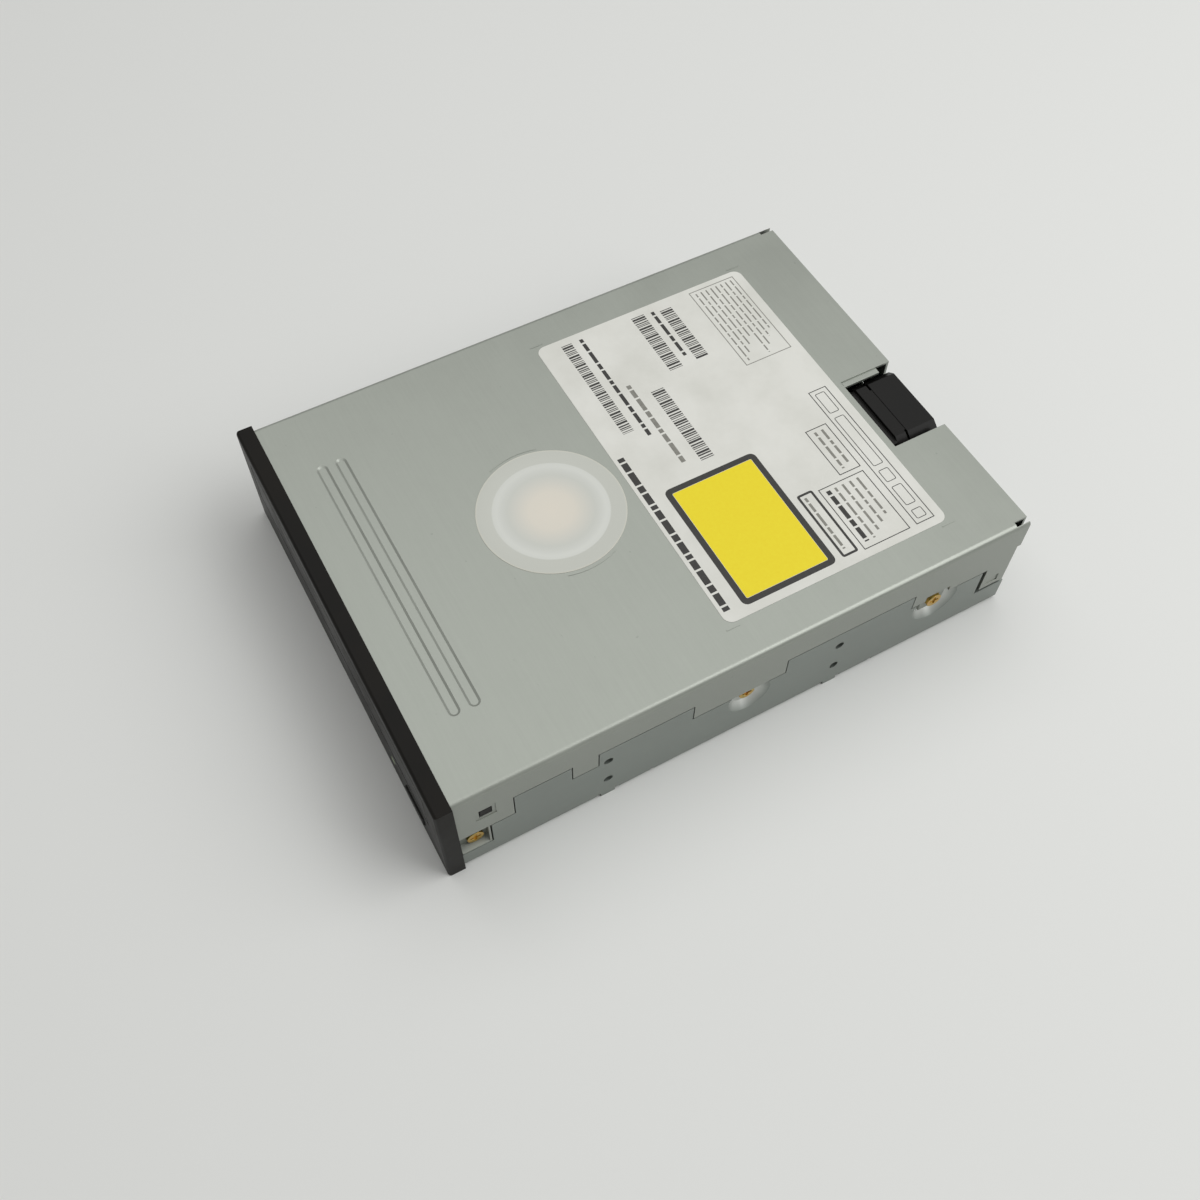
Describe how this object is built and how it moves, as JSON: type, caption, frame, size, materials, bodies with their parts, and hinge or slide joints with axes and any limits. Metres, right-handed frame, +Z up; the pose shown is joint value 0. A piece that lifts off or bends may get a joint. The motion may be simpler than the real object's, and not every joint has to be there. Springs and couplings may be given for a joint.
{
  "type": "optical disc drive",
  "caption": "half-height 5.25 inch internal disc rewriter drive with sliding tray, lifting pickup, rear connectors and a small rear fan",
  "frame": {"origin": "centre of the footprint, on the surface the drive lies on", "axes": "+Z up, the bezel faces -Y, the connectors face +Y, X across the drive"},
  "size_m": [0.148, 0.1986, 0.042],
  "materials": {
    "galvanised_steel": "satin",
    "case_steel": "satin",
    "black_plastic": "matte",
    "label_paper": "matte",
    "seal_film": "satin",
    "brass_screw": "satin",
    "dark_plastic": "matte",
    "steel_sheet": "satin",
    "steel_pin": "polished",
    "can_metal": "satin",
    "black_rubber": "matte",
    "green_board": "satin",
    "lamp_plastic": "gloss",
    "gold_pin": "polished",
    "white_plastic": "matte",
    "blue_plastic": "matte",
    "chip_black": "matte",
    "fan_plastic": "satin",
    "grey_plastic": "matte",
    "die_cast": "matte",
    "grey_rubber": "matte",
    "lens_glass": "polished",
    "door_plastic": "matte",
    "copper_film": "satin"
  },
  "bodies": {
    "casing": {"top_cover": "galvanised_steel", "bottom_case": "case_steel", "front_bezel": "black_plastic", "rating_label": "label_paper", "seal_sticker": "seal_film", "casing_screws": "brass_screw", "main_chassis": "dark_plastic", "clamp_bridge": "steel_sheet", "inner_screws": "steel_pin", "loading_motor": "can_metal", "drive_belt": "black_rubber", "front_board": "green_board", "eject_switch": "dark_plastic", "led_lens": "lamp_plastic", "status_led": "lamp_plastic", "main_board": "green_board", "ide_socket": "black_plastic", "ide_pins": "gold_pin", "power_socket": "white_plastic", "power_pins": "steel_pin", "audio_sockets": "white_plastic", "jumper_header": "dark_plastic", "header_pins": "gold_pin", "jumper_cap": "blue_plastic", "board_chips": "chip_black", "board_capacitors": "can_metal", "flex_connectors": "white_plastic", "fan_duct": "fan_plastic", "fan_frame": "fan_plastic", "front_flex": "copper_film", "pickup_flex": "copper_film"},
    "tray": {"disc_tray": "dark_plastic", "tray_front": "door_plastic"},
    "tray_drive": {"tray_gear": "white_plastic"},
    "belt_gear": {"pulley_gear": "white_plastic"},
    "motor_wheel": {"motor_pulley": "white_plastic"},
    "cam": {"cam_slider": "white_plastic"},
    "traverse": {"traverse_holder": "grey_plastic", "traverse_frame": "die_cast", "damper_rubbers": "grey_rubber", "damper_screws": "steel_pin", "spindle_base": "die_cast", "guide_rods": "steel_pin", "feed_motor": "can_metal"},
    "spindle": {"motor_rotor": "can_metal", "turntable": "dark_plastic", "turntable_pad": "black_rubber"},
    "sled": {"pickup_body": "die_cast", "pickup_cover": "steel_sheet", "feed_nut": "white_plastic", "actuator_yoke": "steel_sheet"},
    "feed_screw": {"lead_screw": "steel_pin"},
    "lens": {"lens_holder": "dark_plastic", "objective_lens": "lens_glass"},
    "clamper": {"clamper_puck": "white_plastic", "clamper_cap": "white_plastic", "clamper_ring": "steel_pin"},
    "eject": {"eject_button": "door_plastic", "switch_plunger": "white_plastic"},
    "fan": {"fan_rotor": "dark_plastic"}
  },
  "joints": [
    {"name": "tray_slide", "type": "slide", "parent": "casing", "child": "tray", "axis": [0, -1, 0], "range_m": [0, 0.132]},
    {"name": "tray_gear_spin", "type": "hinge", "parent": "casing", "child": "tray_drive", "pos_m": [-0.04925, -0.0773, 0.015], "axis": [0, 0, 1], "range_deg": [0, 1081]},
    {"name": "belt_gear_spin", "type": "hinge", "parent": "casing", "child": "belt_gear", "pos_m": [-0.03245, -0.0773, 0.015], "axis": [0, 0, 1], "range_deg": [-2702, 0]},
    {"name": "motor_pulley_spin", "type": "hinge", "parent": "casing", "child": "motor_wheel", "pos_m": [-0.005, -0.0773, 0.016], "axis": [0, 0, 1], "range_deg": [-9021, 0]},
    {"name": "traverse_tilt", "type": "hinge", "parent": "casing", "child": "traverse", "pos_m": [0, 0.0647, 0.014], "axis": [-1, 0, 0], "range_deg": [0, 3.94]},
    {"name": "cam_slide", "type": "slide", "parent": "casing", "child": "cam", "axis": [1, 0, 0], "range_m": [0, 0.016]},
    {"name": "spindle_spin", "type": "hinge", "parent": "traverse", "child": "spindle", "pos_m": [0, -0.02584, 0.01578], "axis": [0, -0.0687, 0.9976], "continuous": true},
    {"name": "clamper_spin", "type": "hinge", "parent": "casing", "child": "clamper", "pos_m": [0, -0.0255, 0.035], "axis": [0, 0, 1], "continuous": true},
    {"name": "sled_slide", "type": "slide", "parent": "traverse", "child": "sled", "axis": [0, 0.9976, 0.0687], "range_m": [0, 0.035]},
    {"name": "lead_screw_spin", "type": "hinge", "parent": "traverse", "child": "feed_screw", "pos_m": [-0.0335, 0.01661, 0.01369], "axis": [0, 0.9976, 0.0687], "range_deg": [0, 4201]},
    {"name": "lens_focus", "type": "slide", "parent": "sled", "child": "lens", "axis": [0, -0.0687, 0.9976], "range_m": [-0.0006, 0.0006], "stiffness_N_per_m": 40},
    {"name": "eject_press", "type": "slide", "parent": "casing", "child": "eject", "axis": [0, 1, 0], "range_m": [0, 0.0007], "stiffness_N_per_m": 400, "springref_m": -0.0005},
    {"name": "fan_spin", "type": "hinge", "parent": "casing", "child": "fan", "pos_m": [0.01455, 0.0927, 0.029], "axis": [0, 1, 0], "continuous": true}
  ],
  "couplings": [
    {"joint": "tray_gear_spin", "follows": "tray_slide", "rad_per_m": 142.86},
    {"joint": "belt_gear_spin", "follows": "tray_slide", "rad_per_m": -357.14},
    {"joint": "motor_pulley_spin", "follows": "tray_slide", "rad_per_m": -1192.5},
    {"joint": "cam_slide", "follows": "traverse_tilt", "m_per_rad": 0.2326},
    {"joint": "clamper_spin", "follows": "spindle_spin", "ratio": 1},
    {"joint": "lead_screw_spin", "follows": "sled_slide", "rad_per_m": 2094.4}
  ]
}
